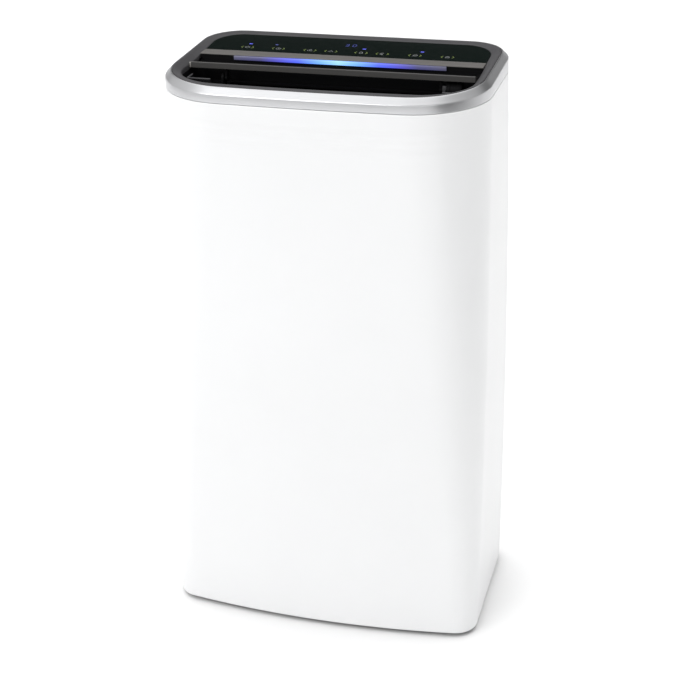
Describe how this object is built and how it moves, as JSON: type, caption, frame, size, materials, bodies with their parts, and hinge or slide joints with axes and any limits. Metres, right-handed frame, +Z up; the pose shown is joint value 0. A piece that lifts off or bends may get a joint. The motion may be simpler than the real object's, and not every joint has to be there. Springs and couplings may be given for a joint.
{
  "type": "dehumidifier",
  "caption": "Upright free-standing dehumidifier: smooth white shell, silver trim band, black touch panel, lit bar, top air outlet with a swinging louver vane and a rear pull-out water tank.",
  "frame": {"origin": "on the floor under the centre of the body", "axes": "+Z up, front faces -Y, +X is the viewer's right when facing the front"},
  "size_m": [0.3538, 0.2248, 0.6241],
  "materials": {
    "shell_white": "satin-gloss moulded ABS",
    "silver_trim": "satin silver-painted band",
    "dark_plastic": "satin dark grey",
    "black_gloss": "gloss black glass",
    "circuit_board": "solder mask",
    "steel": "bright zinc-plated",
    "light_bar": "diffusing lens, lit",
    "black_plastic": "fine texture",
    "zinc": "galvanised",
    "fin_aluminium": "bright thin sheet",
    "copper": "drawn copper",
    "black_paint": "semi-gloss enamel",
    "black_rubber": "matte",
    "tank_plastic": "translucent moulded",
    "white_foam": "closed-cell foam",
    "mesh_fabric": "nylon net",
    "carbon_foam": "open foam with carbon"
  },
  "bodies": {
    "housing": {"front_cover": "shell_white", "rear_cover": "shell_white", "trim_ring": "silver_trim", "top_frame": "dark_plastic", "touch_panel": "black_gloss", "touch_board": "circuit_board", "touch_springs": "steel", "light_lens": "light_bar", "light_board": "circuit_board", "outlet_duct": "black_plastic", "outlet_grille": "black_plastic", "louver_motor": "zinc", "scroll_housing": "black_plastic", "inlet_plate": "black_plastic", "fan_motor": "zinc", "motor_screws": "steel", "evaporator_fins": "fin_aluminium", "evaporator_tubes": "copper", "condenser_fins": "fin_aluminium", "condenser_tubes": "copper", "coil_plates": "zinc", "drip_tray": "black_plastic", "mid_deck": "black_plastic", "bay_partition": "black_plastic", "compressor": "black_paint", "accumulator": "black_paint", "grommets": "black_rubber", "studs": "steel", "nuts": "steel", "suction_pipe": "copper", "discharge_pipe": "copper", "capillary": "copper", "level_switch": "black_plastic", "base_pan": "dark_plastic", "power_box": "dark_plastic", "capacitor": "zinc", "power_inlet": "black_plastic", "drain_spout": "dark_plastic", "cover_screws": "steel", "humidity_sensor": "circuit_board"},
    "louver": {"louver": "dark_plastic"},
    "fan": {"fan_wheel": "black_plastic", "fan_shaft": "steel"},
    "tank": {"tank": "tank_plastic", "tank_lid": "dark_plastic"},
    "tank_handle": {"tank_handle": "dark_plastic"},
    "float": {"float": "white_foam"},
    "filter": {"filter_frame": "shell_white", "filter_mesh": "mesh_fabric", "carbon_filter": "carbon_foam"},
    "drain_cap": {"drain_cap": "black_rubber"},
    "fork_fl": {"fork_fl": "black_plastic"},
    "wheel_fl": {"wheel_fl": "black_rubber"},
    "fork_fr": {"fork_fr": "black_plastic"},
    "wheel_fr": {"wheel_fr": "black_rubber"},
    "fork_rl": {"fork_rl": "black_plastic"},
    "wheel_rl": {"wheel_rl": "black_rubber"},
    "fork_rr": {"fork_rr": "black_plastic"},
    "wheel_rr": {"wheel_rr": "black_rubber"}
  },
  "joints": [
    {"name": "louver_swing", "type": "hinge", "parent": "housing", "child": "louver", "pos_m": [0, -0.008, 0.6], "axis": [1, 0, 0], "range_deg": [-20, 30]},
    {"name": "fan_spin", "type": "hinge", "parent": "housing", "child": "fan", "pos_m": [0, 0, 0.4], "axis": [0, 1, 0], "continuous": true},
    {"name": "tank_slide", "type": "slide", "parent": "housing", "child": "tank", "axis": [0, 1, 0], "range_m": [0, 0.19]},
    {"name": "handle_fold", "type": "hinge", "parent": "tank", "child": "tank_handle", "pos_m": [-0.039, 0.1015, 0.212], "axis": [1, 0, 0], "range_deg": [0, 80]},
    {"name": "float_rise", "type": "hinge", "parent": "tank", "child": "float", "pos_m": [0.032, -0.036, 0.214], "axis": [0, 1, 0], "range_deg": [0, 24]},
    {"name": "filter_pull", "type": "slide", "parent": "housing", "child": "filter", "axis": [0, 1, 0], "range_m": [0, 0.1]},
    {"name": "drain_cap_pull", "type": "slide", "parent": "housing", "child": "drain_cap", "axis": [0, 1, 0], "range_m": [0, 0.03]},
    {"name": "swivel_fl", "type": "hinge", "parent": "housing", "child": "fork_fl", "pos_m": [-0.126, -0.064, 0.033], "axis": [0, 0, 1], "continuous": true},
    {"name": "roll_fl", "type": "hinge", "parent": "fork_fl", "child": "wheel_fl", "pos_m": [-0.126, -0.057, 0.013], "axis": [1, 0, 0], "continuous": true},
    {"name": "swivel_fr", "type": "hinge", "parent": "housing", "child": "fork_fr", "pos_m": [0.126, -0.064, 0.033], "axis": [0, 0, 1], "continuous": true},
    {"name": "roll_fr", "type": "hinge", "parent": "fork_fr", "child": "wheel_fr", "pos_m": [0.126, -0.057, 0.013], "axis": [1, 0, 0], "continuous": true},
    {"name": "swivel_rl", "type": "hinge", "parent": "housing", "child": "fork_rl", "pos_m": [-0.126, 0.066, 0.033], "axis": [0, 0, 1], "continuous": true},
    {"name": "roll_rl", "type": "hinge", "parent": "fork_rl", "child": "wheel_rl", "pos_m": [-0.126, 0.073, 0.013], "axis": [1, 0, 0], "continuous": true},
    {"name": "swivel_rr", "type": "hinge", "parent": "housing", "child": "fork_rr", "pos_m": [0.126, 0.066, 0.033], "axis": [0, 0, 1], "continuous": true},
    {"name": "roll_rr", "type": "hinge", "parent": "fork_rr", "child": "wheel_rr", "pos_m": [0.126, 0.073, 0.013], "axis": [1, 0, 0], "continuous": true}
  ]
}
